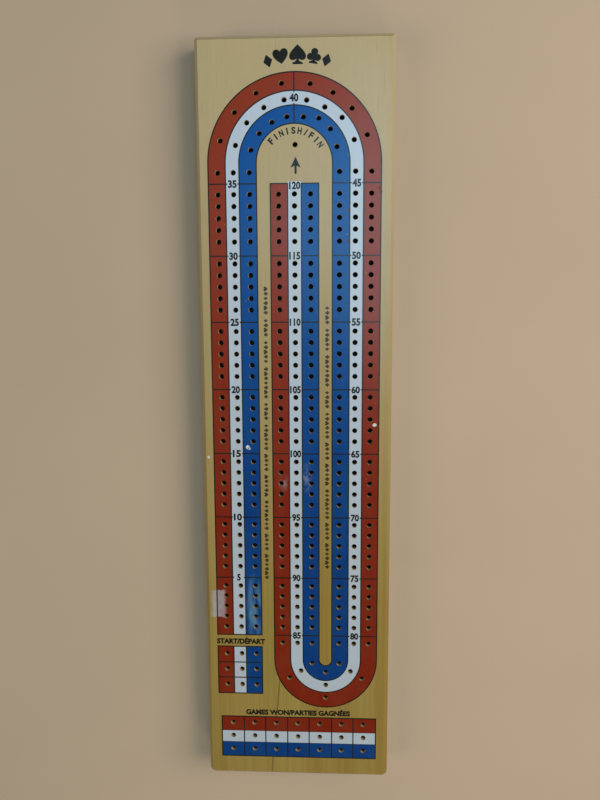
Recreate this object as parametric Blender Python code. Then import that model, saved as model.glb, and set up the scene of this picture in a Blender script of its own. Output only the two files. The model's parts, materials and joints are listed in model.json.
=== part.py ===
"""Three-track cribbage board: a drilled plank, nine pegs, and the slide that closes their compartment.

The board lies flat with its face up. X runs across it, Y along it towards the finish hole, and the
origin is under its centre, on the surface it rests on. All sizes are in metres.
"""

import math

import bmesh
import bpy
from mathutils import Matrix, Vector

# Board
BOARD_LENGTH = 0.3746
BOARD_WIDTH = 0.0945
BOARD_THICKNESS = 0.018
FACE_CHAMFER = 0.0026
UNDER_CHAMFER = 0.0006
TOP_END_CORNER_ROUND = 0.0015
BOTTOM_END_CORNER_ROUND = 0.0030

# Holes: what sets their size, and the lanes that they stand in
PEG_PLAY_IN_HOLE = 0.0002
WOOD_UNDER_HOLES = 0.0025
HOLE_SIDES = 6
HOLES_IN_GROUP = 5
GROUPS_IN_STRAIGHT = 7
BETWEEN_GROUPS = 0.01046
LANE_SPACING = 0.00765
EDGE_TO_OUTER_LANE = 0.01035
DRILL_SHIFT_X = -0.0002
DRILL_TURN = math.radians(0.1)

# Where the tracks lie along Y, from the board's two ends and from the first hole
BOTTOM_END_TO_FIRST_HOLE = 0.0833
TOP_END_TO_LAST_HOLE = 0.07216
TOP_END_TO_CURVE_HOLE = 0.0620
TOP_END_TO_CURVE_CENTRE = 0.05795
TOP_CURVE_ANGLES = (-73, -50, -29, -9, 12, 30, 48, 70)
# How far a few holes at the right of that curve stand outside their lane, from the inner lane outwards
TOP_CURVE_STRAYS = ({30: 0.0020, 48: 0.0016}, {48: 0.0014, 70: 0.0011}, {})
FIRST_HOLE_TO_CURVE_HOLE = 0.0086
FIRST_HOLE_TO_CURVE_CENTRE = 0.0171
BOTTOM_CURVE_ANGLES = (60, 62, 70)
BOTTOM_CURVE_LANE_SPACING = 0.00715

# Start box, game counter and finish hole
START_ROWS = 3
START_ROW_PITCH = 0.0086
FIRST_HOLE_TO_START_HOLE = 0.0149
COUNTER_COLUMNS = 7
COUNTER_EDGE_MARGIN = 0.0128
COUNTER_ROW_PITCH = 0.00745
BOTTOM_END_TO_COUNTER = 0.0220
TOP_END_TO_FINISH_HOLE = 0.0494

# Pegs
PEG_LENGTH = 0.0318
PEG_HEAD_DIAMETER = 0.0042
PEG_SHOULDER_DIAMETER = 0.0032
PEG_SHANK_DIAMETER = 0.0024
PEG_TIP_DIAMETER = 0.0019
PEG_SHANK_LENGTH = 0.0105
PEG_SIDES = 12

# Peg compartment in the underside, and its slide
PEGS_IN_LONG_RANK = 5
BETWEEN_PEGS = 0.0008
PEG_FREE_TRAVEL = 0.0076
COMPARTMENT_HEADROOM = 0.0006
LIP_THICKNESS = 0.0015
LIP_OVERHANG = 0.0013
COVER_THICKNESS = 0.0006
COVER_LAP = 0.0025
COVER_CORNER_ROUND = 0.0015
RIDGE_HEIGHT = 0.0009
RIDGE_LENGTH = 0.018
RIDGE_WIDTH = 0.0040
RIDGE_FROM_END = 0.009
GAP = 0.0003

# Sizes that follow
HOLE_DIAMETER = PEG_SHANK_DIAMETER + PEG_PLAY_IN_HOLE
TRACK_SPACING = BOARD_WIDTH / 2 - EDGE_TO_OUTER_LANE - LANE_SPACING
FIRST_HOLE_Y = BOTTOM_END_TO_FIRST_HOLE - BOARD_LENGTH / 2
STRAIGHT_LENGTH = BOARD_LENGTH - BOTTOM_END_TO_FIRST_HOLE - TOP_END_TO_LAST_HOLE
GROUP_LENGTH = (STRAIGHT_LENGTH - (GROUPS_IN_STRAIGHT - 1) * BETWEEN_GROUPS) / GROUPS_IN_STRAIGHT
HOLE_PITCH = GROUP_LENGTH / (HOLES_IN_GROUP - 1)
STORED_PEG_PITCH = PEG_HEAD_DIAMETER + BETWEEN_PEGS
COMPARTMENT_WIDTH = PEGS_IN_LONG_RANK * STORED_PEG_PITCH + BETWEEN_PEGS
COMPARTMENT_LENGTH = 2 * PEG_LENGTH + PEG_FREE_TRAVEL + 3 * GAP
GROOVE_WIDTH = COMPARTMENT_WIDTH + 2 * LIP_OVERHANG
GROOVE_TOP = LIP_THICKNESS + COVER_THICKNESS + 2 * GAP
COVER_UNDER = LIP_THICKNESS + GAP
PEG_AXIS_Z = COVER_UNDER + COVER_THICKNESS + GAP + PEG_HEAD_DIAMETER / 2
COMPARTMENT_TOP = PEG_AXIS_Z + PEG_HEAD_DIAMETER / 2 + COMPARTMENT_HEADROOM
HOLE_FLOOR = COMPARTMENT_TOP + WOOD_UNDER_HOLES
COVER_LENGTH = COMPARTMENT_LENGTH + 2 * COVER_LAP
COVER_WIDTH = GROOVE_WIDTH - 2 * GAP
COVER_TRAVEL = COMPARTMENT_LENGTH + COVER_LAP
GROOVE_LENGTH = COVER_LENGTH + COVER_TRAVEL + 2 * GAP
COMPARTMENT_Y = COVER_TRAVEL / 2

COLOURS = {
    "wood": ((0.60, 0.42, 0.19), 0.35, 0.0),
    "steel": ((0.62, 0.62, 0.60), 0.35, 1.0),
    "red": ((0.55, 0.03, 0.02), 0.35, 0.0),
    "white": ((0.80, 0.80, 0.76), 0.35, 0.0),
    "blue": ((0.01, 0.08, 0.38), 0.35, 0.0),
}


def clear_scene():
    for old in list(bpy.data.objects):
        bpy.data.objects.remove(old, do_unlink=True)


def material(name):
    """The named finish, as one Principled material shared by all the pieces that have it."""
    made = bpy.data.materials.get(name)
    if made:
        return made
    colour, roughness, metallic = COLOURS[name]
    made = bpy.data.materials.new(name)
    made.use_nodes = True
    shader = made.node_tree.nodes["Principled BSDF"]
    shader.inputs["Base Color"].default_value = (*colour, 1.0)
    shader.inputs["Roughness"].default_value = roughness
    shader.inputs["Metallic"].default_value = metallic
    return made


def add_object(name, mesh, finish=None):
    made = bpy.data.objects.new(name, mesh)
    bpy.context.scene.collection.objects.link(made)
    if finish and not mesh.materials:
        mesh.materials.append(material(finish))
    return made


def mesh_from(shape, name):
    bmesh.ops.recalc_face_normals(shape, faces=shape.faces)
    mesh = bpy.data.meshes.new(name)
    shape.to_mesh(mesh)
    shape.free()
    return mesh


def add_block(shape, low, high):
    """A box between two corners, added to the shape."""
    low, high = Vector(low), Vector(high)
    place = Matrix.Translation((low + high) / 2) @ Matrix.Diagonal((*(high - low), 1.0))
    bmesh.ops.create_cube(shape, size=1.0, matrix=place)


def lane_offsets():
    return (-LANE_SPACING, 0.0, LANE_SPACING)


def straight_rows():
    """The Y of each hole in one lane of a straight: groups of holes, with room for a line between groups."""
    for group in range(GROUPS_IN_STRAIGHT):
        for step in range(HOLES_IN_GROUP):
            yield FIRST_HOLE_Y + group * (GROUP_LENGTH + BETWEEN_GROUPS) + step * HOLE_PITCH


def track_holes():
    """The three straights, and the curve over the top that joins the outer two."""
    for track in (-1, 0, 1):
        for lane in lane_offsets():
            for y in straight_rows():
                yield track * TRACK_SPACING + lane, y
    centre_y = BOARD_LENGTH / 2 - TOP_END_TO_CURVE_CENTRE
    for lane, strays in zip(lane_offsets(), TOP_CURVE_STRAYS):
        for side in (-1, 1):
            yield side * (TRACK_SPACING + lane), BOARD_LENGTH / 2 - TOP_END_TO_CURVE_HOLE
        for degrees in TOP_CURVE_ANGLES:
            radius = TRACK_SPACING + lane + strays.get(degrees, 0.0)
            angle = math.radians(degrees)
            yield radius * math.sin(angle), centre_y + radius * math.cos(angle)


def bottom_curve_holes():
    """The curve that joins the right straight to the middle one, from its outer lane inwards."""
    centre_x = TRACK_SPACING / 2
    centre_y = FIRST_HOLE_Y - FIRST_HOLE_TO_CURVE_CENTRE
    for lane, degrees in zip((1, 0, -1), BOTTOM_CURVE_ANGLES):
        radius = TRACK_SPACING / 2 + lane * BOTTOM_CURVE_LANE_SPACING
        angle = math.radians(degrees)
        yield centre_x, centre_y - radius
        for side in (-1, 1):
            straight_x = centre_x + side * (TRACK_SPACING / 2 + lane * LANE_SPACING)
            yield straight_x, FIRST_HOLE_Y - FIRST_HOLE_TO_CURVE_HOLE
            yield centre_x + side * radius * math.sin(angle), centre_y - radius * math.cos(angle)


def start_holes():
    for lane in lane_offsets():
        for row in range(START_ROWS):
            yield lane - TRACK_SPACING, FIRST_HOLE_Y - FIRST_HOLE_TO_START_HOLE - row * START_ROW_PITCH


def counter_holes():
    """Three rows, one above the other, that count the games won."""
    pitch = (BOARD_WIDTH - 2 * COUNTER_EDGE_MARGIN) / (COUNTER_COLUMNS - 1)
    for row in (-1, 0, 1):
        for column in range(COUNTER_COLUMNS):
            x = COUNTER_EDGE_MARGIN + column * pitch - BOARD_WIDTH / 2
            yield x, BOTTOM_END_TO_COUNTER - BOARD_LENGTH / 2 + row * COUNTER_ROW_PITCH


def all_holes():
    """Every hole's centre. The track's pattern is turned a little on the board, as it was drilled."""
    cosine = math.cos(DRILL_TURN)
    sine = math.sin(DRILL_TURN)
    for maker in (track_holes, bottom_curve_holes, start_holes):
        for x, y in maker():
            yield DRILL_SHIFT_X + x * cosine - y * sine, x * sine + y * cosine
    yield from counter_holes()
    yield 0.0, BOARD_LENGTH / 2 - TOP_END_TO_FINISH_HOLE


def bevel_edges(shape, edges, width, segments):
    bmesh.ops.bevel(
        shape, geom=edges, offset=width, segments=segments, profile=0.5, affect="EDGES", clamp_overlap=True
    )


def plank_mesh():
    """The plank with rounded corners in plan, sharper at the top end, and a chamfer round both faces."""
    shape = bmesh.new()
    half_width = BOARD_WIDTH / 2
    half_length = BOARD_LENGTH / 2
    add_block(shape, (-half_width, -half_length, 0.0), (half_width, half_length, BOARD_THICKNESS))
    for end, radius in ((1, TOP_END_CORNER_ROUND), (-1, BOTTOM_END_CORNER_ROUND)):
        upright = [
            edge
            for edge in shape.edges
            if all(vert.co.y * end > half_length / 2 for vert in edge.verts)
            and abs(edge.verts[0].co.z - edge.verts[1].co.z) > BOARD_THICKNESS / 2
        ]
        bevel_edges(shape, upright, radius, 4)
    for level, width in ((BOARD_THICKNESS, FACE_CHAMFER), (0.0, UNDER_CHAMFER)):
        rim = [edge for edge in shape.edges if all(abs(vert.co.z - level) < 1e-6 for vert in edge.verts)]
        bevel_edges(shape, rim, width, 1)
    return mesh_from(shape, "plank")


def drill_mesh():
    """One prism for each hole, from the hole's floor to above the face."""
    shape = bmesh.new()
    depth = 2 * (BOARD_THICKNESS - HOLE_FLOOR)
    radius = HOLE_DIAMETER / 2 / math.cos(math.pi / HOLE_SIDES)
    for x, y in all_holes():
        bmesh.ops.create_cone(
            shape,
            cap_ends=True,
            segments=HOLE_SIDES,
            radius1=radius,
            radius2=radius,
            depth=depth,
            matrix=Matrix.Translation((x, y, HOLE_FLOOR + depth / 2)),
        )
    return mesh_from(shape, "drill")


def recess_mesh(centre_y, width, length, bottom, top):
    shape = bmesh.new()
    add_block(
        shape,
        (-width / 2, centre_y - length / 2, bottom),
        (width / 2, centre_y + length / 2, top),
    )
    return mesh_from(shape, "recess")


def cut(target, name, mesh):
    """A Boolean cut of the target by a hidden helper made of this mesh."""
    cutter = add_object(name, mesh)
    cutter.hide_render = True
    cutter.display_type = "WIRE"
    change = target.modifiers.new(name, "BOOLEAN")
    change.operation = "DIFFERENCE"
    change.solver = "EXACT"
    change.object = cutter


def make_board():
    """The drilled plank. Its underside has a mouth with overhanging lips, the slide's groove above
    them, and the peg compartment above one half of the groove."""
    board = add_object("board", plank_mesh(), "wood")
    cut(board, "cut_holes", drill_mesh())
    mouth_width = GROOVE_WIDTH - 2 * LIP_OVERHANG
    inside_groove = (LIP_THICKNESS + GROOVE_TOP) / 2
    cut(board, "cut_mouth", recess_mesh(0.0, mouth_width, GROOVE_LENGTH, -BOARD_THICKNESS, inside_groove))
    cut(board, "cut_groove", recess_mesh(0.0, GROOVE_WIDTH, GROOVE_LENGTH, LIP_THICKNESS, GROOVE_TOP))
    compartment = recess_mesh(
        COMPARTMENT_Y, COMPARTMENT_WIDTH, COMPARTMENT_LENGTH, inside_groove, COMPARTMENT_TOP
    )
    cut(board, "cut_compartment", compartment)
    return board


def ridge_drop(x, y):
    """How far the pressed finger ridge bulges below the sheet, at a place measured from its centre."""
    past_straight = max(abs(x) - (RIDGE_LENGTH - RIDGE_WIDTH) / 2, 0.0)
    reach = math.hypot(past_straight, y) / (RIDGE_WIDTH / 2)
    return RIDGE_HEIGHT * math.cos(math.pi / 2 * min(reach, 1.0)) ** 2


def cut_lines(shape, places, normal):
    for place in places:
        everything = [*shape.verts, *shape.edges, *shape.faces]
        bmesh.ops.bisect_plane(shape, geom=everything, plane_co=place, plane_no=normal)


def make_cover():
    """A sheet with rounded corners and one pressed ridge to push with a fingernail, thickened upwards."""
    shape = bmesh.new()
    bmesh.ops.create_grid(shape, x_segments=1, y_segments=1, size=0.5)
    bmesh.ops.scale(shape, vec=(COVER_WIDTH, COVER_LENGTH, 1.0), verts=shape.verts)
    bmesh.ops.bevel(
        shape,
        geom=list(shape.verts),
        offset=COVER_CORNER_ROUND,
        segments=3,
        profile=0.5,
        affect="VERTICES",
        clamp_overlap=True,
    )
    ridge_y = COVER_LENGTH / 2 - RIDGE_FROM_END
    ridge_end = (RIDGE_LENGTH - RIDGE_WIDTH) / 2
    steps = [RIDGE_WIDTH / 8 * step for step in range(-4, 5)]
    cut_lines(shape, [(0.0, ridge_y + step, 0.0) for step in steps], (0.0, 1.0, 0.0))
    for side in (-1, 1):
        cut_lines(shape, [(side * (ridge_end + step), 0.0, 0.0) for step in steps[4:]], (1.0, 0.0, 0.0))
    for vert in shape.verts:
        vert.co.z = -ridge_drop(vert.co.x, vert.co.y - ridge_y)
    cover = add_object("storage_cover", mesh_from(shape, "storage_cover"), "steel")
    if cover.data.polygons[0].normal.z > 0:
        cover.data.flip_normals()
    cover.location = (0.0, COMPARTMENT_Y, COVER_UNDER)
    thicken = cover.modifiers.new("sheet", "SOLIDIFY")
    thicken.thickness = COVER_THICKNESS
    thicken.offset = -1.0
    return cover


def peg_mesh(colour):
    """A turned peg along Y with its middle at the origin and its head towards +Y."""
    head = PEG_HEAD_DIAMETER / 2
    end = PEG_LENGTH / 2
    shoulder_y = -end + PEG_SHANK_LENGTH
    tip = PEG_TIP_DIAMETER / 2
    outline = [
        (0.6 * tip, -end),
        (tip, -end + 0.4 * tip),
        (PEG_SHANK_DIAMETER / 2, shoulder_y),
        (PEG_SHOULDER_DIAMETER / 2, shoulder_y + (PEG_SHOULDER_DIAMETER - PEG_SHANK_DIAMETER) / 2),
    ]
    dome = [math.radians(angle) for angle in (0, 30, 55, 75)]
    outline += [(head * math.cos(angle), end - head * (1 - math.sin(angle))) for angle in dome]
    shape = bmesh.new()
    chain = [shape.verts.new((radius, y, 0.0)) for radius, y in outline]
    edges = [shape.edges.new(pair) for pair in zip(chain, chain[1:])]
    bmesh.ops.spin(
        shape,
        geom=chain + edges,
        cent=(0.0, 0.0, 0.0),
        axis=(0.0, 1.0, 0.0),
        angle=math.tau,
        steps=PEG_SIDES,
        use_merge=True,
    )
    for side in (-1, 1):
        rim = [edge for edge in shape.edges if edge.is_boundary and edge.verts[0].co.y * side > 0]
        bmesh.ops.contextual_create(shape, geom=rim)
    mesh = mesh_from(shape, "peg_" + colour)
    mesh.materials.append(material(colour))
    mesh.shade_smooth()
    mesh.set_sharp_from_angle(angle=math.radians(40))
    return mesh


def peg_places():
    """Each peg's place on the cover and which way its head points: a rank of five, then a rank of four."""
    from_middle = (COMPARTMENT_LENGTH - PEG_LENGTH) / 2 - GAP
    for count, side in ((PEGS_IN_LONG_RANK, 1), (PEGS_IN_LONG_RANK - 1, -1)):
        for lane in range(count):
            x = (lane - (count - 1) / 2) * STORED_PEG_PITCH
            yield Vector((x, COMPARTMENT_Y + side * from_middle, PEG_AXIS_Z)), side


def make_pegs():
    meshes = {colour: peg_mesh(colour) for colour in ("red", "white", "blue")}
    names = [(colour, number) for colour in meshes for number in (1, 2, 3)]
    for (colour, number), (place, side) in zip(names, peg_places()):
        peg = add_object(f"peg_{colour}_{number}", meshes[colour])
        peg.location = place
        peg.rotation_euler = (0.0, 0.0, 0.0 if side > 0 else math.pi)


clear_scene()
make_board()
make_cover()
make_pegs()
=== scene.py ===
import json
import math
import random

import bmesh
import bpy
from mathutils import Matrix, Vector


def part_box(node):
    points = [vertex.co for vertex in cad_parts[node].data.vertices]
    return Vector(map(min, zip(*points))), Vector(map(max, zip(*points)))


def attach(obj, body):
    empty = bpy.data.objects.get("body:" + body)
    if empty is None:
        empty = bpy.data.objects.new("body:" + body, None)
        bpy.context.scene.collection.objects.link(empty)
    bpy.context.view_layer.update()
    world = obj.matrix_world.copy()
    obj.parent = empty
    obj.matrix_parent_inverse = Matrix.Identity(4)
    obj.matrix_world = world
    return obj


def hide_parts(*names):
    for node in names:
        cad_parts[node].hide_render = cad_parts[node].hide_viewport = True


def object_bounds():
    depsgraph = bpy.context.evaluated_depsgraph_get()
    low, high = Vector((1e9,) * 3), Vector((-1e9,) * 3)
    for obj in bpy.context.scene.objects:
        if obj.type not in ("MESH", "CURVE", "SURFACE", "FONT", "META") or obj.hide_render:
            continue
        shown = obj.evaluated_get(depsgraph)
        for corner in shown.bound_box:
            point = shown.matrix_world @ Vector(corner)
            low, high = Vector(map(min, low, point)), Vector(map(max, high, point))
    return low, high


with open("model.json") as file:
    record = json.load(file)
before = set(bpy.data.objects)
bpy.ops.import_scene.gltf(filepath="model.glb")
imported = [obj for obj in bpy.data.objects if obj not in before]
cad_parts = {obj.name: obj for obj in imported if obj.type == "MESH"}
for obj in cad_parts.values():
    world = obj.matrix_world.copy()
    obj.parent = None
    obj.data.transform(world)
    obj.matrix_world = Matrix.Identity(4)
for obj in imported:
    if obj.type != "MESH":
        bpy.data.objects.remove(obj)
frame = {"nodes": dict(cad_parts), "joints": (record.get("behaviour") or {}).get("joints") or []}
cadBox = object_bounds()
cadLow, cadHigh = cadBox
mm = 0.001
print("frame loaded")


def tidyMesh(shape, name, sharpAngle=None):
    bmesh.ops.recalc_face_normals(shape, faces=shape.faces)
    mesh = bpy.data.meshes.new(name)
    shape.to_mesh(mesh)
    shape.free()
    if sharpAngle:
        mesh.shade_smooth()
        mesh.set_sharp_from_angle(angle=math.radians(sharpAngle))
    return mesh


def newPiece(name, mesh, body, slotName, *surfaces):
    for surface in surfaces:
        mesh.materials.append(surface)
    piece = bpy.data.objects.new(name, mesh)
    bpy.context.scene.collection.objects.link(piece)
    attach(piece, body)
    return piece


def hiddenTool(name, mesh):
    tool = bpy.data.objects.new(name, mesh)
    bpy.context.scene.collection.objects.link(tool)
    return tool


def afterCuts(mesh, tools):
    # the mesh with every tool cut out of it
    blank = hiddenTool("blank", mesh)
    for tool in tools:
        cut = blank.modifiers.new("cut", "BOOLEAN")
        cut.operation = "DIFFERENCE"
        cut.solver = "EXACT"
        cut.object = tool
    graph = bpy.context.evaluated_depsgraph_get()
    result = bpy.data.meshes.new_from_object(blank.evaluated_get(graph))
    bpy.data.objects.remove(blank)
    result.materials.clear()
    return result


def addBlock(shape, low, high):
    low, high = Vector(low), Vector(high)
    place = Matrix.Translation((low + high) / 2) @ Matrix.Diagonal((*(high - low), 1))
    return bmesh.ops.create_cube(shape, size=1, matrix=place)["verts"]


def bevelEdges(shape, edges, width, segments):
    return bmesh.ops.bevel(shape, geom=edges, offset=width, segments=segments, profile=0.5,
                           affect="EDGES", material=-1, clamp_overlap=True)


def newSurface(name, **sockets):
    surface = bpy.data.materials.new(name)
    surface.use_nodes = True
    tree = surface.node_tree
    shader = tree.nodes["Principled BSDF"]
    for socket, value in sockets.items():
        shader.inputs[socket.replace("_", " ")].default_value = value
    return surface, tree, shader


def addNode(tree, kind, inputs=None, **settings):
    node = tree.nodes.new("ShaderNode" + kind)
    for name, value in settings.items():
        setattr(node, name, value)
    for socket, value in (inputs or {}).items():
        if isinstance(value, bpy.types.NodeSocket):
            tree.links.new(value, node.inputs[socket])
        else:
            node.inputs[socket].default_value = value
    return node


def objectCoords(tree):
    return addNode(tree, "TexCoord").outputs["Object"]


def noise(tree, scale, detail=3, distortion=0, offset=(0, 0, 0)):
    # noise stretched by a different scale along each axis
    mapped = addNode(tree, "Mapping", {"Vector": objectCoords(tree), "Scale": scale, "Location": offset})
    made = addNode(tree, "TexNoise", {"Vector": mapped.outputs[0], "Scale": 1, "Detail": detail,
                                      "Distortion": distortion})
    return made.outputs["Fac"]


def rangeOf(tree, value, fromLow, fromHigh, toLow=0, toHigh=1):
    return addNode(tree, "MapRange", {"Value": value, "From Min": fromLow, "From Max": fromHigh,
                                      "To Min": toLow, "To Max": toHigh}).outputs["Result"]


def mixColour(tree, factor, first, second, blend="MIX"):
    mixer = addNode(tree, "Mix", {"Factor": factor}, data_type="RGBA", blend_type=blend)
    for socket, value in (("A", first), ("B", second)):
        target = [item for item in mixer.inputs if item.name == socket and item.type == "RGBA"][0]
        if isinstance(value, bpy.types.NodeSocket):
            tree.links.new(value, target)
        else:
            target.default_value = (*value, 1)
    return [item for item in mixer.outputs if item.type == "RGBA"][0]


def maths(tree, operation, first, second=0.0):
    return addNode(tree, "Math", {0: first, 1: second}, operation=operation).outputs[0]


def nearFace(tree, value):
    # keeps a mark off the board's sides and underside
    height = addNode(tree, "SeparateXYZ", {0: objectCoords(tree)}).outputs["Z"]
    return maths(tree, "MULTIPLY", value, rangeOf(tree, height, 3 * mm, 15 * mm))


def patch(tree, centre, radius, soft=0.6):
    # 1 at a place on the board, fading to 0 at the radii along X and Y
    scale = (1 / radius[0], 1 / radius[1], 0)
    offset = (-centre[0] / radius[0], -centre[1] / radius[1], 0)
    mapped = addNode(tree, "Mapping", {"Vector": objectCoords(tree), "Scale": scale, "Location": offset})
    reach = addNode(tree, "VectorMath", {0: mapped.outputs[0]}, operation="LENGTH").outputs["Value"]
    return rangeOf(tree, reach, 1, 1 - soft)


def addBump(tree, shader, height, distance, strength=1.0, socket="Normal"):
    bump = addNode(tree, "Bump", {"Height": height, "Distance": distance, "Strength": strength})
    tree.links.new(bump.outputs[0], shader.inputs[socket])


wood = {
    "paleTone": (0.42, 0.30, 0.085),
    "darkTone": (0.33, 0.225, 0.042),
    "poreTone": (0.22, 0.12, 0.03),
    "greenTone": (0.41, 0.34, 0.095),
    "paintedGlareTone": (0.60, 0.505, 0.31),
    "cutTone": (0.68, 0.54, 0.31),
    "holeShadeTone": (0.035, 0.022, 0.010),
    "poreStrength": 0.22,
    "streakTone": (0.16, 0.12, 0.035),
    "broadBands": (34, 1.1, 34),
    "grainLines": (620, 7, 620),
    "poreLines": (2300, 75, 2300),
    "coat": 0.5,
    "coatRoughness": 0.22,
    "streakStart": (-7.6 * mm, -111 * mm),
    "streakEnd": (-13.9 * mm, -184.5 * mm),
    "streakHalfWidth": 0.60 * mm,
}


residue = {
    "centre": (-41.1 * mm, -91.6 * mm),
    "halfWidth": 4.2 * mm,
    "halfLength": 7.6 * mm,
    "cover": (0.50, 0.88),
    "tone": (0.46, 0.46, 0.49),
    "scuffs": ((4.6, -24.5, 4.0, 8.5), (-6.6, -27, 3.2, 5.5), (15.0, -21.6, 3.0, 4.5)),
    "scuffTone": (0.45, 0.50, 0.52),
    "fadedCentre": (-22.5 * mm, -94 * mm),
    "fadedRadii": (5 * mm, 20 * mm),
    "fadedTone": (0.16, 0.36, 0.50),
}


def grainColour(tree):
    # broad warm and greenish bands, fine lines along the board, a painted glare that makes the wood paler
    # towards the top end, then short dark pores
    broad = rangeOf(tree, noise(tree, wood["broadBands"], 2), 0.35, 0.65)
    tint = rangeOf(tree, noise(tree, (55, 2.2, 55), 2, offset=(3, 1, 7)), 0.45, 0.7)
    lines = rangeOf(tree, noise(tree, wood["grainLines"], 4, 0.3), 0.35, 0.7)
    colour = mixColour(tree, broad, wood["paleTone"], wood["darkTone"])
    colour = mixColour(tree, maths(tree, "MULTIPLY", tint, 0.55), colour, wood["greenTone"])
    colour = mixColour(tree, maths(tree, "MULTIPLY", lines, 0.24), colour, wood["darkTone"], "MULTIPLY")
    along = addNode(tree, "SeparateXYZ", {0: objectCoords(tree)}).outputs["Y"]
    # painted glare: the wood is blended towards a paler tone towards the top end
    paintedGlare = nearFace(tree, rangeOf(tree, along, -90 * mm, 150 * mm, 0, 0.75))
    colour = mixColour(tree, paintedGlare, colour, wood["paintedGlareTone"])
    pores = rangeOf(tree, noise(tree, wood["poreLines"], 2), 0.62, 0.74)
    pored = mixColour(tree, maths(tree, "MULTIPLY", pores, wood["poreStrength"]), colour, wood["poreTone"])
    return pored, lines, pores


def streakMask(tree):
    start, end = Vector(wood["streakStart"]), Vector(wood["streakEnd"])
    along = end - start
    turn = math.atan2(along.x, -along.y)
    moved = addNode(tree, "VectorMath", {0: objectCoords(tree), 1: (start.x, start.y, 0)},
                    operation="SUBTRACT").outputs[0]
    turned = addNode(tree, "Mapping", {"Vector": moved, "Rotation": (0, 0, -turn)})
    axes = addNode(tree, "SeparateXYZ", {0: turned.outputs[0]})
    wander = rangeOf(tree, noise(tree, (0, 60, 0), 2), 0, 1, -0.8 * mm, 0.8 * mm)
    across = maths(tree, "ABSOLUTE", maths(tree, "ADD", axes.outputs["X"], wander))
    thin = rangeOf(tree, across, wood["streakHalfWidth"], 0.1 * wood["streakHalfWidth"])
    inside = rangeOf(tree, axes.outputs["Y"], 0, -4 * mm)
    broken = rangeOf(tree, noise(tree, (900, 110, 0), 3), 0.2, 0.45)
    return nearFace(tree, maths(tree, "MULTIPLY", maths(tree, "MULTIPLY", thin, inside), broken))


def withScuffs(tree, colour):
    # chalky rubs, each with its centre and radii in millimetres
    for x, y, radiusX, radiusY in residue["scuffs"]:
        rub = patch(tree, (x * mm, y * mm), (radiusX * mm, radiusY * mm), 1)
        broken = rangeOf(tree, noise(tree, (420, 300, 420), 4), 0.4, 0.7, 0, 0.5)
        shown = nearFace(tree, maths(tree, "MULTIPLY", rub, broken))
        colour = mixColour(tree, shown, colour, residue["scuffTone"])
    return colour


def withResidue(tree, colour):
    # what a strip of tape left behind: a cloudy pale film with straight edges
    place = Vector((*residue["centre"], 0))
    moved = addNode(tree, "VectorMath", {0: objectCoords(tree), 1: place}, operation="SUBTRACT").outputs[0]
    axes = addNode(tree, "SeparateXYZ", {0: moved})
    ragged = rangeOf(tree, noise(tree, (420, 420, 420), 4), 0.3, 0.7, -0.35 * mm, 0.35 * mm)
    mask = None
    for axis, half, soft in (("X", residue["halfWidth"], 1.6 * mm), ("Y", residue["halfLength"], 0.6 * mm)):
        reach = maths(tree, "ADD", maths(tree, "ABSOLUTE", axes.outputs[axis]), ragged)
        inside = rangeOf(tree, reach, half, half - soft)
        mask = maths(tree, "MULTIPLY", mask, inside) if mask else inside
    cloudy = rangeOf(tree, noise(tree, (150, 230, 150), 4), 0.3, 0.65, *residue["cover"])
    return mixColour(tree, nearFace(tree, maths(tree, "MULTIPLY", mask, cloudy)), colour, residue["tone"])


def lacqueredWood():
    surface, tree, shader = newSurface("lacqueredWood", Coat_Weight=wood["coat"],
                                       Coat_Roughness=wood["coatRoughness"], Coat_IOR=1.5,
                                       Specular_IOR_Level=0.1)
    colour, lines, pores = grainColour(tree)
    colour = mixColour(tree, maths(tree, "MULTIPLY", streakMask(tree), 0.95), colour, wood["streakTone"])
    grime = rangeOf(tree, noise(tree, (70, 40, 70), 5), 0.55, 0.8)
    colour = mixColour(tree, maths(tree, "MULTIPLY", grime, 0.12), colour, wood["poreTone"])
    colour = withResidue(tree, withScuffs(tree, colour))
    tree.links.new(colour, shader.inputs["Base Color"])
    tree.links.new(rangeOf(tree, lines, 0, 1, 0.42, 0.58), shader.inputs["Roughness"])
    addBump(tree, shader, maths(tree, "ADD", pores, maths(tree, "MULTIPLY", lines, 0.5)), 0.02 * mm, 0.6)
    ripple = noise(tree, (160, 40, 160), 2)
    addBump(tree, shader, ripple, 0.03 * mm, 0.5, "Coat Normal")
    return surface


def bareWood():
    surface, tree, shader = newSurface("bareWood", Roughness=0.75)
    colour, lines, pores = grainColour(tree)
    depth = addNode(tree, "SeparateXYZ", {0: objectCoords(tree)}).outputs["Z"]
    dust = rangeOf(tree, noise(tree, (900, 900, 900), 3), 0.35, 0.7, 0.75, 1)
    colour = mixColour(tree, maths(tree, "MULTIPLY", dust, 0.8), colour, wood["cutTone"])
    # painted shade: the hole walls darken with depth below the face, nearly black from 15 mm down; below 8
    # mm, in the compartment, nothing is darkened
    paintedHoleShade = rangeOf(tree, depth, 16.7 * mm, 15.0 * mm, 0, 0.94)
    inHole = rangeOf(tree, depth, 8 * mm, 9 * mm)
    colour = mixColour(tree, maths(tree, "MULTIPLY", paintedHoleShade, inHole), colour, wood["holeShadeTone"])
    tree.links.new(colour, shader.inputs["Base Color"])
    addBump(tree, shader, maths(tree, "ADD", pores, lines), 0.05 * mm, 0.7)
    return surface


board = {
    "woodTop": cadHigh.z - 0.045 * mm,  # the ink stands on it
    "faceChamfer": 2.6 * mm,
    "underChamfer": 0.6 * mm,
    "topCorner": 1.5 * mm,
    "bottomCorner": 3.0 * mm,
    "easing": 0.25 * mm,
    "holeFloor": 10 * mm,
    "holeRadius": 1.3 * mm,
    "holeSides": 16,
    "drillPoint": 0.75 * mm,
}

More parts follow.
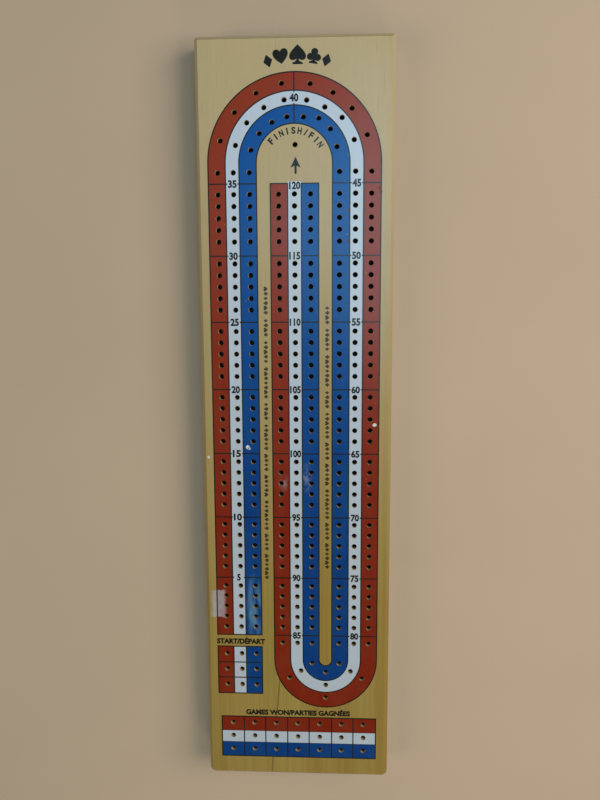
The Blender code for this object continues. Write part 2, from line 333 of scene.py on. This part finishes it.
store = {
    "gap": 0.3 * mm,
    "lap": 2.5 * mm,
    "lip": 1.5 * mm,
    "overhang": 1.3 * mm,
    "ceiling": 7.5 * mm,
    "cornerRound": 0.8 * mm,
    "floorLevel": 2 * mm,
}


def plank():
    shape = bmesh.new()
    top = board["woodTop"]
    addBlock(shape, (cadLow.x, cadLow.y, cadLow.z), (cadHigh.x, cadHigh.y, top))
    for end, radius in ((1, board["topCorner"]), (-1, board["bottomCorner"])):
        upright = [edge for edge in shape.edges
                   if all(vert.co.y * end > cadHigh.y / 2 for vert in edge.verts)
                   and abs(edge.verts[0].co.z - edge.verts[1].co.z) > top / 2]
        bevelEdges(shape, upright, radius, 8)
    for level, width in ((top, board["faceChamfer"]), (cadLow.z, board["underChamfer"])):
        rim = [edge for edge in shape.edges if all(abs(vert.co.z - level) < 1e-6 for vert in edge.verts)]
        bevelEdges(shape, rim, width, 1)
    arris = [edge for edge in shape.edges if len(edge.link_faces) == 2
             and edge.calc_face_angle(0) > math.radians(30)
             and abs(edge.verts[0].co.z - edge.verts[1].co.z) < 1e-6
             and edge.verts[0].co.z > top / 2]
    bevelEdges(shape, arris, board["easing"], 3)
    return tidyMesh(shape, "plank")


def holeCentres():
    # the middle of each hole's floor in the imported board
    mesh = frame["nodes"]["board"].data
    groups = []
    for face in mesh.polygons:
        corners = [mesh.vertices[index].co for index in face.vertices]
        if any(abs(corner.z - board["holeFloor"]) > 0.02 * mm for corner in corners):
            continue
        near = [group for group in groups if (group["middle"] - face.center).length < 2 * board["holeRadius"]]
        if not near:
            near = [{"middle": face.center.copy(), "corners": []}]
            groups.append(near[0])
        near[0]["corners"] += corners
    centres = []
    for group in groups:
        xs = [corner.x for corner in group["corners"]]
        ys = [corner.y for corner in group["corners"]]
        centres.append(Vector(((min(xs) + max(xs)) / 2, (min(ys) + max(ys)) / 2)))
    return centres


def drill(centres):
    shape = bmesh.new()
    depth = 2 * (cadHigh.z - board["holeFloor"])
    for centre in centres:
        place = Matrix.Translation((centre.x, centre.y, board["holeFloor"] + depth / 2))
        verts = bmesh.ops.create_cone(shape, cap_ends=True, segments=board["holeSides"], depth=depth,
                                      radius1=board["holeRadius"], radius2=board["holeRadius"],
                                      matrix=place)["verts"]
        lowest = min(verts, key=lambda vert: vert.co.z)
        floor = [face for face in lowest.link_faces if len(face.verts) > 4]
        point = bmesh.ops.poke(shape, faces=floor)["verts"]
        bmesh.ops.translate(shape, verts=point, vec=(0, 0, -board["drillPoint"]))
    return tidyMesh(shape, "drill")


def storeTools():
    # the mouth under the slide, the groove that it runs in, and the compartment for the pegs
    low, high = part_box("storage_cover")
    travel = [joint for joint in frame["joints"] if joint["name"] == "cover_slide"][0]["range_m"][1]
    halfGroove = high.x + store["gap"]
    halfMouth = halfGroove - store["overhang"]
    grooveTop = high.z + store["gap"]
    grooveLow, grooveHigh = low.y - travel - store["gap"], high.y + store["gap"]
    level = store["floorLevel"]
    boxes = {
        "mouth": ((-halfMouth, grooveLow, -5 * mm), (halfMouth, grooveHigh, level)),
        "groove": ((-halfGroove, grooveLow, store["lip"]), (halfGroove, grooveHigh, grooveTop)),
        "compartment": ((-halfMouth, low.y + store["lap"], level),
                        (halfMouth, high.y - store["lap"], store["ceiling"])),
    }
    tools = []
    for name, (start, end) in boxes.items():
        shape = bmesh.new()
        addBlock(shape, start, end)
        if name != "groove":  # a router leaves round corners
            upright = [edge for edge in shape.edges
                       if (edge.verts[0].co - edge.verts[1].co).normalized().z ** 2 > 0.9]
            bevelEdges(shape, upright, store["cornerRound"], 4)
        tools.append(hiddenTool(name, tidyMesh(shape, name)))
    return tools


centres = holeCentres()
print(len(centres), "holes")
drillTool = hiddenTool("drill", drill(centres))
cutters = [drillTool, *storeTools()]
woodMesh = afterCuts(plank(), cutters)
woodMesh.shade_smooth()
woodMesh.set_sharp_from_angle(angle=math.radians(32))
boardWood = newPiece("boardWood", woodMesh, "board", "lacquered_wood", lacqueredWood(), bareWood())
inset = board["faceChamfer"] + 0.5 * mm
for face in woodMesh.polygons:
    middle = face.center
    inside = abs(middle.x) < cadHigh.x - inset and abs(middle.y) < cadHigh.y - inset
    if inside and 0.3 * mm < middle.z < board["woodTop"] - 0.02 * mm:
        face.material_index = 1
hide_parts("board")
print("board cut")


layout = {
    "arcCentre": (-0.37 * mm, 129.35 * mm),
    "arcRadius": 29.8 * mm,
    "turnCentre": (14.53 * mm, -121.67 * mm),
    "turnRadius": 14.9 * mm,
    "trackStart": -108.5 * mm,
    "trackEnd": 120.0 * mm,
    "whiteEnd": 121.0 * mm,
    "whiteHalf": 3.285 * mm,
    "trackHalf": 11.6 * mm,
    "line": 0.60 * mm,
    "thinLine": 0.22 * mm,
    "tickStart": 2.45 * mm,
    "filmGap": 0.04 * mm,
    "dividers": [value * mm for value in (-77.2, -45.0, -11.9, 20.6, 54.0, 86.0, 120.0)],
    "startBox": (-41.77 * mm, -18.57 * mm),
    "startRows": [value * mm for value in (-115.0, -123.8, -132.3, -141.2)],
    "counterBox": (-40.46 * mm, 40.96 * mm),
    "counterRows": [value * mm for value in (-154.4, -162.5, -169.0, -177.1)],
    "counterColumns": [value * mm for value in (-28.6, -17.2, -5.5, 5.9, 17.8, 29.1)],
}

film = {
    "bottom": 17.9 * mm,
    "colour": 17.975 * mm,
    "fine": 17.985 * mm,
    "black": 17.99 * mm,
    "top": 18.0 * mm,
}


def uprightFace(shape, x, y, width, low, high):
    verts = bmesh.ops.create_grid(shape, x_segments=1, y_segments=1, size=0.5)["verts"]
    place = Matrix.Translation((x, y, (low + high) / 2)) @ Matrix.Rotation(math.pi / 2, 4, "X")
    bmesh.ops.transform(shape, matrix=place @ Matrix.Diagonal((width, high - low, 1, 1)), verts=verts)
    return verts[0].link_faces[0]


def runStraight(shape, face, y):
    made = bmesh.ops.extrude_face_region(shape, geom=[face])["geom"]
    verts = [item for item in made if isinstance(item, bmesh.types.BMVert)]
    bmesh.ops.translate(shape, vec=(0, y - verts[0].co.y, 0), verts=verts)
    return [item for item in made if isinstance(item, bmesh.types.BMFace)][0]


def runRound(shape, face, centre, steps):
    made = bmesh.ops.spin(shape, geom=[face], cent=(*centre, 0), axis=(0, 0, 1), angle=-math.pi, steps=steps)
    return [item for item in made["geom_last"] if isinstance(item, bmesh.types.BMFace)][0]


def addBand(shape, inner, outer, top, startY, endY):
    # a strip that follows the whole track, between two distances from its middle line
    middle = (inner + outer) / 2
    x = layout["arcCentre"][0] - layout["arcRadius"] - middle
    face = uprightFace(shape, x, startY, outer - inner, film["bottom"], top)
    face = runStraight(shape, face, layout["arcCentre"][1])
    face = runRound(shape, face, layout["arcCentre"], 72)
    face = runStraight(shape, face, layout["turnCentre"][1])
    face = runRound(shape, face, layout["turnCentre"], 48)
    runStraight(shape, face, endY)


def addFlat(shape, left, bottom, right, top, level):
    addBlock(shape, (left, bottom, film["bottom"]), (right, top, level))


def bandSteps():
    white, half, gap = layout["whiteHalf"], layout["trackHalf"], layout["filmGap"]
    return {"red": (white + gap, half), "white": (-white, white), "blue": (-half, -white - gap)}


def filmMesh(colour):
    shape = bmesh.new()
    start, end = layout["trackStart"], layout["trackEnd"]
    gap = layout["filmGap"]
    inner, outer = bandSteps()[colour]
    addBand(shape, inner, outer, film["colour"], start, layout["whiteEnd"] if colour == "white" else end)
    columnX = layout["arcCentre"][0] - layout["arcRadius"]
    left, right = layout["startBox"]
    edges = {"red": (left, columnX - layout["whiteHalf"] - gap),
             "white": (columnX - layout["whiteHalf"], columnX + layout["whiteHalf"]),
             "blue": (columnX + layout["whiteHalf"] + gap, right)}[colour]
    rows = layout["startRows"]
    addFlat(shape, edges[0], rows[-1], edges[1], rows[0], film["colour"])
    row = {"red": 0, "white": 1, "blue": 2}[colour]
    top, bottom = layout["counterRows"][row], layout["counterRows"][row + 1]
    addFlat(shape, layout["counterBox"][0], bottom + gap, layout["counterBox"][1], top, film["colour"])
    return tidyMesh(shape, colour)


ink = {
    "red": {"tone": (0.22, 0.014, 0.002), "worn": (0.24, 0.034, 0.009), "topGlareTone": (0.30, 0.036, 0.008)},
    "white": {"tone": (0.51, 0.61, 0.71), "worn": (0.49, 0.56, 0.62), "topGlareTone": (0.58, 0.71, 0.88)},
    "blue": {"tone": (0.001, 0.043, 0.22), "worn": (0.003, 0.075, 0.27), "topGlareTone": (0.001, 0.090, 0.40)},
    "black": {"tone": (0.010, 0.009, 0.004), "worn": (0.030, 0.025, 0.014), "topGlareTone": (0.008, 0.008, 0.004)},
    "faint": {"tone": (0.045, 0.035, 0.010), "worn": (0.090, 0.070, 0.020), "topGlareTone": (0.060, 0.050, 0.022)},
}


def inkSurface(name):
    look = ink[name]
    surface, tree, shader = newSurface(name + "Ink", Coat_Weight=wood["coat"],
                                       Coat_Roughness=wood["coatRoughness"], Coat_IOR=1.5,
                                       Specular_IOR_Level=0.1)
    mottle = rangeOf(tree, noise(tree, (140, 70, 140), 5), 0.35, 0.7)
    colour = mixColour(tree, maths(tree, "MULTIPLY", mottle, 0.5), look["tone"], look["worn"])
    along = addNode(tree, "SeparateXYZ", {0: objectCoords(tree)}).outputs["Y"]
    # painted glare: each ink is blended towards its glare tone towards the top end; for the red, white and
    # blue inks that tone is paler
    colour = mixColour(tree, rangeOf(tree, along, -50 * mm, 130 * mm), colour, look["topGlareTone"])
    lines = rangeOf(tree, noise(tree, wood["grainLines"], 4, 0.3), 0.35, 0.7)
    colour = mixColour(tree, maths(tree, "MULTIPLY", lines, 0.22), colour, look["worn"])
    if name == "blue":
        faded = maths(tree, "MULTIPLY", patch(tree, residue["fadedCentre"], residue["fadedRadii"]),
                      rangeOf(tree, noise(tree, (260, 60, 260), 4), 0.4, 0.6))
        colour = mixColour(tree, maths(tree, "MULTIPLY", faded, 0.7), colour, residue["fadedTone"])
    chips = rangeOf(tree, noise(tree, (520, 380, 520), 4), 0.72, 0.755)
    if name in ("red", "white", "blue"):
        colour = mixColour(tree, maths(tree, "MULTIPLY", chips, 0.3), colour, wood["paleTone"])
        colour = withResidue(tree, withScuffs(tree, colour))
    tree.links.new(colour, shader.inputs["Base Color"])
    tree.links.new(rangeOf(tree, mottle, 0, 1, 0.40, 0.55), shader.inputs["Roughness"])
    addBump(tree, shader, lines, 0.012 * mm, 0.6)
    addBump(tree, shader, noise(tree, (160, 40, 160), 2), 0.03 * mm, 0.5, "Coat Normal")
    return surface


inkSurfaces = {name: inkSurface(name) for name in ink}
for colour in ("red", "white", "blue"):
    punched = afterCuts(filmMesh(colour), [drillTool])
    newPiece("print" + colour.title(), punched, "board", colour + "_ink", inkSurfaces[colour])
    print(colour, "ink printed")


def lineMesh():
    shape = bmesh.new()
    half, white, line, thin = layout["trackHalf"], layout["whiteHalf"], layout["line"], layout["thinLine"]
    start, end = layout["trackStart"], layout["trackEnd"]
    for offset in (-half, -white, white, half):
        addBand(shape, offset - line / 2, offset + line / 2, film["black"], start - line / 2, end + line / 2)
    columnX = layout["arcCentre"][0] - layout["arcRadius"]
    rightX = layout["turnCentre"][0] + layout["turnRadius"]
    middleX = layout["turnCentre"][0] - layout["turnRadius"]
    spans = [(-half, -white), (white, half)]
    ticks = [(-white, -layout["tickStart"]), (layout["tickStart"], white)]

    def across(x, y, pieces):
        for low, high in pieces:
            addFlat(shape, x + low, y - line / 2, x + high, y + line / 2, film["fine"])

    across(columnX, start, [(-half, half)])
    across(middleX, end, spans)
    for y in layout["dividers"]:
        across(columnX, y, spans + ticks)
        across(rightX, y, spans + ticks)
    for step, y in enumerate(layout["dividers"][:-1]):
        across(middleX, y, spans + ticks if step < 2 else spans)  # no room for ticks beside three digits
    across(rightX, start, spans + ticks)
    across(middleX, start, spans + ticks)
    apexX, apexY = layout["arcCentre"][0], layout["arcCentre"][1] + layout["arcRadius"]
    for low, high in spans + ticks:
        addFlat(shape, apexX - line / 2, apexY + low, apexX + line / 2, apexY + high, film["fine"])
    left, right = layout["startBox"]
    rows = layout["startRows"]
    for x in (left, columnX - white, columnX + white, right):
        addFlat(shape, x - line / 2, rows[-1] - line / 2, x + line / 2, rows[0] + line / 2, film["black"])
    for y in rows:
        addFlat(shape, left, y - line / 2, right, y + line / 2, film["fine"])
    left, right = layout["counterBox"]
    rows = layout["counterRows"]
    for x in (left, *layout["counterColumns"], right):
        addFlat(shape, x - line / 2, rows[-1] - line / 2, x + line / 2, rows[0] + line / 2, film["black"])
    for y, width in zip(rows, (line, thin, thin, line)):
        addFlat(shape, left, y - width / 2, right, y + width / 2, film["fine"])
    return tidyMesh(shape, "lines")


newPiece("printLines", lineMesh(), "board", "black_ink", inkSurfaces["black"])
print("lines printed")


lettering = {
    "numberHeight": 3.7 * mm,
    "digitWidth": 2.1 * mm,
    "numberBold": 0.045,
    "wordBold": 0.055,
    "startWords": ("START/DÉPART", (-42.3, -17.0, -113.7, -110.0)),
    "counterWords": ("GAMES WON/PARTIES GAGNÉES", (-27.6, 27.5, -153.3, -149.6)),
    "finishWords": "FINISH/FIN",
    "finishRadius": 15.0 * mm,
    "finishAngles": (-47, 56),
    "finishHeight": 3.2 * mm,
    "finishBold": 0.04,
    "letterWidth": 0.62,  # of the height
    "narrowLetters": {"I": 0.22, "/": 0.45},
    "lastNumberShift": (0.15 * mm, -0.95 * mm),
    "arrowShift": 0.24 * mm,
    "arrow": ((0, 132.3), (2.45, 127.2), (0.55, 128.1), (0.5, 124.4), (-0.5, 124.4), (-0.55, 128.1),
              (-2.45, 127.2)),
}


def stampText(shape, words, centre, width, height, turn=0, bold=0.02, top=None, curveSteps=3):
    # outlines of the built-in font made solid, fitted to a width and a height, then set in place
    curve = bpy.data.curves.new("words", "FONT")
    curve.body = words
    curve.extrude = 0.05
    curve.offset = bold
    curve.resolution_u = curveSteps
    maker = hiddenTool("words", curve)
    graph = bpy.context.evaluated_depsgraph_get()
    graph.update()
    mesh = bpy.data.meshes.new_from_object(maker.evaluated_get(graph))
    bpy.data.objects.remove(maker)
    xs = [vert.co.x for vert in mesh.vertices]
    ys = [vert.co.y for vert in mesh.vertices]
    scaleX = width / (max(xs) - min(xs)) if width else height / (max(ys) - min(ys))
    scaleY = height / (max(ys) - min(ys))
    top = top or film["black"]
    thickness = top - film["bottom"]
    toOrigin = Matrix.Translation((-(max(xs) + min(xs)) / 2, -(max(ys) + min(ys)) / 2, 0))
    size = Matrix.Diagonal((scaleX, scaleY, thickness / 0.1, 1))
    place = Matrix.Translation((*centre, top - thickness / 2)) @ Matrix.Rotation(turn, 4, "Z")
    mesh.transform(place @ size @ toOrigin)
    shape.from_mesh(mesh)
    bpy.data.meshes.remove(mesh)


def numberMesh():
    shape = bmesh.new()
    columnX = layout["arcCentre"][0] - layout["arcRadius"]
    rightX = layout["turnCentre"][0] + layout["turnRadius"]
    middleX = layout["turnCentre"][0] - layout["turnRadius"]
    height, bold = lettering["numberHeight"], lettering["numberBold"]
    shiftX, shiftY = lettering["lastNumberShift"]
    places = []
    for step, y in enumerate(layout["dividers"]):
        places.append((5 + 5 * step, columnX, y))
        places.append((75 - 5 * step, rightX, y))
        if y < layout["trackEnd"]:
            places.append((90 + 5 * step, middleX, y))
    places += [(40, layout["arcCentre"][0], layout["arcCentre"][1] + layout["arcRadius"]),
               (80, rightX, layout["trackStart"]), (85, middleX, layout["trackStart"]),
               (120, middleX + shiftX, layout["trackEnd"] + shiftY)]
    for number, x, y in places:
        digits = str(number)
        width = lettering["digitWidth"] * len(digits) * (0.86 if len(digits) == 3 else 1)
        if number < 10:
            width = 0.9 * width
        stampText(shape, digits, (x, y), width, height, bold=bold)
    bmesh.ops.remove_doubles(shape, verts=shape.verts, dist=1e-6)
    return tidyMesh(shape, "numbers")


def wordMesh():
    shape = bmesh.new()
    for words, (left, right, bottom, top) in (lettering["startWords"], lettering["counterWords"]):
        centre = ((left + right) / 2 * mm, (bottom + top) / 2 * mm)
        stampText(shape, words, centre, (right - left) * mm, (top - bottom) * mm, bold=lettering["wordBold"])
    letters = lettering["finishWords"]
    first, last = lettering["finishAngles"]
    for index, letter in enumerate(letters):
        angle = math.radians(first + (last - first) * index / (len(letters) - 1))
        x = layout["arcCentre"][0] + lettering["finishRadius"] * math.sin(angle)
        y = layout["arcCentre"][1] + lettering["finishRadius"] * math.cos(angle)
        height = lettering["finishHeight"]
        width = height * lettering["narrowLetters"].get(letter, lettering["letterWidth"])
        stampText(shape, letter, (x, y), width, height, -angle, bold=lettering["finishBold"])
    shift = lettering["arrowShift"]
    corners = [shape.verts.new((x * mm + shift, y * mm, film["bottom"])) for x, y in lettering["arrow"]]
    head = shape.faces.new(corners)
    raised = bmesh.ops.extrude_face_region(shape, geom=[head])["geom"]
    verts = [item for item in raised if isinstance(item, bmesh.types.BMVert)]
    bmesh.ops.translate(shape, verts=verts, vec=(0, 0, film["black"] - film["bottom"]))
    bmesh.ops.remove_doubles(shape, verts=shape.verts, dist=1e-6)
    return tidyMesh(shape, "words")


emblem = {
    # suit, centre x, centre y, height in millimetres, lean in degrees
    "pips": (("♠", 1.45, 178.4, 8.8, 0), ("♥", -6.5, 177.6, 6.7, 9), ("♣", 9.2, 177.6, 6.9, -9),
             ("♦", -12.5, 175.6, 5.6, 18), ("♦", 15.0, 175.6, 5.6, -18)),
}

borders = {
    "suits": "♠♥♣♦",
    "height": 2.1 * mm,
    "pitch": 2.3 * mm,
    "wordGap": 0.7,  # of the pitch
    "wordLengths": (6, 4, 7, 5, 4),
    "rows": ((-15.2 * mm, 73 * mm, -77 * mm, -0.5 * mm), (15.35 * mm, 61 * mm, -71 * mm, 0)),
}


def emblemMesh():
    shape = bmesh.new()
    for suit, x, y, height, lean in emblem["pips"]:
        stampText(shape, suit, (x * mm, y * mm), None, height * mm, math.radians(lean), 0, curveSteps=6)
    bmesh.ops.remove_doubles(shape, verts=shape.verts, dist=1e-6)
    return tidyMesh(shape, "emblem")


def borderMesh():
    # two rows of small pips, in groups, that read up the board
    shape = bmesh.new()
    for x, top, bottom, lean in borders["rows"]:
        y, count, word = bottom, 0, 0
        while y < top:
            for step in range(borders["wordLengths"][word % len(borders["wordLengths"])]):
                share = (y - bottom) / (top - bottom)
                stampText(shape, borders["suits"][count % 4], (x + lean * (1 - 2 * share), y), None,
                          borders["height"], math.pi / 2, 0, curveSteps=1)
                y += borders["pitch"]
                count += 1
            y += borders["wordGap"] * borders["pitch"]
            word += 1
    bmesh.ops.remove_doubles(shape, verts=shape.verts, dist=1e-6)
    return tidyMesh(shape, "borders")


newPiece("printNumbers", numberMesh(), "board", "black_ink", inkSurfaces["black"])
newPiece("printWords", wordMesh(), "board", "black_ink", inkSurfaces["black"])
newPiece("suitEmblem", emblemMesh(), "board", "black_ink", inkSurfaces["black"])
newPiece("borderPips", borderMesh(), "board", "black_ink", inkSurfaces["faint"])
print("lettering printed")


marks = {
    # centre x, centre y and radius in millimetres
    "paint": ((38.9, 3.0, 0.95), (-24.6, -8.6, 0.95), (-44.5, -13.8, 0.7), (-23.8, -9.3, 0.6)),
    "pitch": ((40.6, 117.6, 0.9), (40.9, 115.9, 0.7), (25.4, 107.4, 0.6), (25.6, 93.0, 0.6)),
    "paintTones": ((0.60, 0.60, 0.57), (0.85, 0.85, 0.82)),
    "pitchTones": ((0.10, 0.035, 0.015), (0.17, 0.07, 0.03)),
    "lift": 0.002 * mm,
    "uneven": 0.14,
}


def spotMesh(places):
    # thin films with uneven outlines
    shape = bmesh.new()
    low = film["black"] + marks["lift"]
    for x, y, radius in places:
        verts = bmesh.ops.create_circle(shape, cap_ends=True, segments=22, radius=radius * mm)["verts"]
        for vert in verts:
            vert.co *= 1 + random.uniform(-marks["uneven"], marks["uneven"])
        bmesh.ops.translate(shape, vec=(x * mm, y * mm, low), verts=verts)
        raised = bmesh.ops.extrude_face_region(shape, geom=[verts[0].link_faces[0]])["geom"]
        lifted = [item for item in raised if isinstance(item, bmesh.types.BMVert)]
        bmesh.ops.translate(shape, vec=(0, 0, film["top"] - low), verts=lifted)
    return tidyMesh(shape, "spots")


def spotSurface(kind):
    surface, tree, shader = newSurface(kind + "Spot", Roughness=0.5)
    colour = mixColour(tree, noise(tree, (900, 900, 900), 3), *marks[kind + "Tones"])
    tree.links.new(colour, shader.inputs["Base Color"])
    return surface


random.seed(4)
for kind in ("paint", "pitch"):
    newPiece(kind + "Spots", spotMesh(marks[kind]), "board", "lacquered_wood", spotSurface(kind))
print("marks added")


cover = {
    "corner": 1.5 * mm,
    "ridgeLength": 18 * mm,
    "ridgeWidth": 4 * mm,
    "ridgeFromEnd": 9 * mm,
    "thickness": 0.6 * mm,
}


def zincSheet():
    surface, tree, shader = newSurface("zincSheet", Metallic=1)
    brushed = noise(tree, (2600, 30, 2600), 3)
    spangle = addNode(tree, "TexVoronoi", {"Vector": objectCoords(tree), "Scale": 260}).outputs["Distance"]
    tone = mixColour(tree, brushed, (0.50, 0.50, 0.48), (0.66, 0.66, 0.64))
    tone = mixColour(tree, rangeOf(tree, spangle, 0, 1, 0, 0.25), tone, (0.42, 0.43, 0.44))
    stains = rangeOf(tree, noise(tree, (60, 60, 60), 5), 0.6, 0.8, 0, 0.5)
    tone = mixColour(tree, stains, tone, (0.30, 0.24, 0.16))
    tree.links.new(tone, shader.inputs["Base Color"])
    tree.links.new(rangeOf(tree, brushed, 0.2, 0.8, 0.28, 0.46), shader.inputs["Roughness"])
    addBump(tree, shader, brushed, 0.01 * mm, 0.5)
    return surface


def coverMesh():
    low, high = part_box("storage_cover")
    thickness = cover["thickness"]
    bottom = high.z - thickness
    shape = bmesh.new()
    bmesh.ops.create_grid(shape, x_segments=56, y_segments=154, size=0.5)
    size = Matrix.Diagonal((high.x - low.x, high.y - low.y, 1, 1))
    place = Matrix.Translation(((low.x + high.x) / 2, (low.y + high.y) / 2, bottom))
    bmesh.ops.transform(shape, matrix=place @ size, verts=shape.verts)
    ridgeY = high.y - cover["ridgeFromEnd"]
    straight = (cover["ridgeLength"] - cover["ridgeWidth"]) / 2
    drop = bottom - low.z
    for vert in shape.verts:
        past = max(abs(vert.co.x) - straight, 0)
        reach = math.hypot(past, vert.co.y - ridgeY) / (cover["ridgeWidth"] / 2)
        vert.co.z -= drop * math.cos(math.pi / 2 * min(reach, 1)) ** 2
    # round the four corners by pulling them onto an arc
    radius = cover["corner"]
    for vert in shape.verts:
        middleX = (high.x - radius) * (1 if vert.co.x > 0 else -1)
        centreY = high.y - radius if vert.co.y > (low.y + high.y) / 2 else low.y + radius
        outX, outY = vert.co.x - middleX, vert.co.y - centreY
        if outX * middleX > 0 and outY * (centreY - (low.y + high.y) / 2) > 0:
            square = max(abs(outX), abs(outY))
            reach = math.hypot(outX, outY)
            vert.co.x = middleX + outX * square / reach
            vert.co.y = centreY + outY * square / reach
    bmesh.ops.recalc_face_normals(shape, faces=shape.faces)
    if shape.faces[:][0].normal.z > 0:
        bmesh.ops.reverse_faces(shape, faces=shape.faces)
    bmesh.ops.solidify(shape, geom=shape.faces[:], thickness=thickness)
    return tidyMesh(shape, "cover", 40)


slideCover = newPiece("slideCover", coverMesh(), "storage_cover", "zinc_plated_steel", zincSheet())
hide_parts("storage_cover")
print("cover pressed")


peg = {
    "shoulder": 1.6 * mm,
    "shank": 1.2 * mm,
    "tip": 0.95 * mm,
    "shankLength": 10.5 * mm,
    "sides": 32,
    "colours": {"red": (0.55, 0.02, 0.015), "white": (0.80, 0.79, 0.74), "blue": (0.012, 0.07, 0.36)},
}


def pegPlastic(colour):
    tone = peg["colours"][colour]
    surface, tree, shader = newSurface(colour + "Plastic", Coat_Weight=0.3, Coat_Roughness=0.12)
    cloudy = noise(tree, (220, 60, 220), 3)
    paler = tuple(0.75 * value + 0.12 for value in tone)
    mixed = mixColour(tree, maths(tree, "MULTIPLY", cloudy, 0.35), tone, paler)
    tree.links.new(mixed, shader.inputs["Base Color"])
    scratches = noise(tree, (1800, 200, 1800), 3)
    tree.links.new(rangeOf(tree, scratches, 0.3, 0.7, 0.24, 0.40), shader.inputs["Roughness"])
    addBump(tree, shader, scratches, 0.01 * mm, 0.4)
    return surface


def pegMesh(node):
    low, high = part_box(node)
    coverLow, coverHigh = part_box("storage_cover")
    side = 1 if low.y > (coverLow.y + coverHigh.y) / 2 else -1  # which rank, so which way its head points
    length = high.y - low.y
    head = (high.z - low.z) / 2
    end = length / 2
    shoulderY = -end + peg["shankLength"]
    outline = [(0, -end), (0.7 * peg["tip"], -end), (peg["tip"], -end + 0.4 * mm), (peg["shank"], shoulderY),
               (peg["shank"] + 0.1 * mm, shoulderY), (peg["shoulder"], shoulderY + 0.35 * mm)]
    for degrees in (0, 15, 30, 45, 60, 75, 90):
        angle = math.radians(degrees)
        outline.append((head * math.cos(angle), end - head * (1 - math.sin(angle))))
    shape = bmesh.new()
    chain = [shape.verts.new((radius, y, 0)) for radius, y in outline]
    edges = [shape.edges.new(pair) for pair in zip(chain, chain[1:])]
    bmesh.ops.spin(shape, geom=chain + edges, cent=(0, 0, 0), axis=(0, 1, 0), angle=math.tau,
                   steps=peg["sides"], use_merge=True)
    bmesh.ops.remove_doubles(shape, verts=shape.verts, dist=1e-6)
    place = Matrix.Translation((low + high) / 2) @ Matrix.Rotation(0 if side > 0 else math.pi, 4, "Z")
    bmesh.ops.transform(shape, matrix=place, verts=shape.verts)
    return tidyMesh(shape, node, 35)


plastics = {colour: pegPlastic(colour) for colour in peg["colours"]}
for colour in plastics:
    for number in (1, 2, 3):
        node = f"peg_{colour}_{number}"
        name = f"{colour}Peg{number}"
        piece = newPiece(name, pegMesh(node), node, colour + "_plastic", plastics[colour])
        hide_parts(node)
print("pegs turned")


studio = {
    "floorTone": (0.60, 0.475, 0.345),
    "lamps": (
        # name, place, size, power, tone
        ("skyLight", (0.21, 0.24, 1.5), 0.60, 4.8, (0.42, 0.88, 1.10)),
        ("sideLight", (0.70, 0.16, 0.72), 0.70, 6.7, (1.0, 0.85, 0.73)),
        ("fillLight", (-0.95, -0.30, 0.9), 0.8, 3.6, (1.0, 0.80, 0.61)),
        ("lowLight", (0.50, -1.15, 0.8), 0.4, 2.5, (1.0, 0.78, 0.56)),
    ),
    "worldTone": (0.95, 0.97, 1.0),
    "worldStrength": 0.06,
    "lens": 33.75,
    "cameraPlace": (19.40 * mm, 68.66 * mm, 386.75 * mm),
    "cameraRight": (0.99889, -0.004577, -0.046880),
    "cameraDown": (0.002160, -0.989770, 0.142654),
    "cameraAhead": (-0.047054, -0.142597, -0.988662),
}

floorShape = bmesh.new()
bmesh.ops.create_grid(floorShape, x_segments=1, y_segments=1, size=3)
floorSurface, tree, shader = newSurface("paleFloor", Roughness=0.85)
soft = noise(tree, (7, 9, 7), 4)
tree.links.new(mixColour(tree, rangeOf(tree, soft, 0.3, 0.7), studio["floorTone"],
                         tuple(0.94 * value for value in studio["floorTone"])), shader.inputs["Base Color"])
floorMesh = tidyMesh(floorShape, "floor")
floorMesh.materials.append(floorSurface)
floor = hiddenTool("floor", floorMesh)


def addLight(name, place, size, power, tone):
    data = bpy.data.lights.new(name, "AREA")
    data.shape = "SQUARE"
    data.size = size
    data.energy = power
    data.color = tone
    lamp = bpy.data.objects.new(name, data)
    bpy.context.scene.collection.objects.link(lamp)
    lamp.location = place
    lamp.rotation_euler = (-Vector(place)).to_track_quat("-Z", "Y").to_euler()


for name, place, size, power, tone in studio["lamps"]:
    addLight(name, place, size, power, tone)

world = bpy.data.worlds.new("studio")
world.use_nodes = True
world.node_tree.nodes["Background"].inputs["Color"].default_value = (*studio["worldTone"], 1)
world.node_tree.nodes["Background"].inputs["Strength"].default_value = studio["worldStrength"]
bpy.context.scene.world = world

cameraData = bpy.data.cameras.new("camera")
cameraData.lens = studio["lens"]
cameraData.sensor_width = 36
camera = bpy.data.objects.new("camera", cameraData)
bpy.context.scene.collection.objects.link(camera)
right, down, ahead = (Vector(studio[key]) for key in ("cameraRight", "cameraDown", "cameraAhead"))
turned = Matrix((right, -down, -ahead)).transposed().to_4x4()
camera.matrix_world = Matrix.Translation(studio["cameraPlace"]) @ turned
bpy.context.scene.camera = camera
bpy.context.scene.view_settings.view_transform = "Standard"

for tool in cutters:
    bpy.data.objects.remove(tool)
print("studio ready")
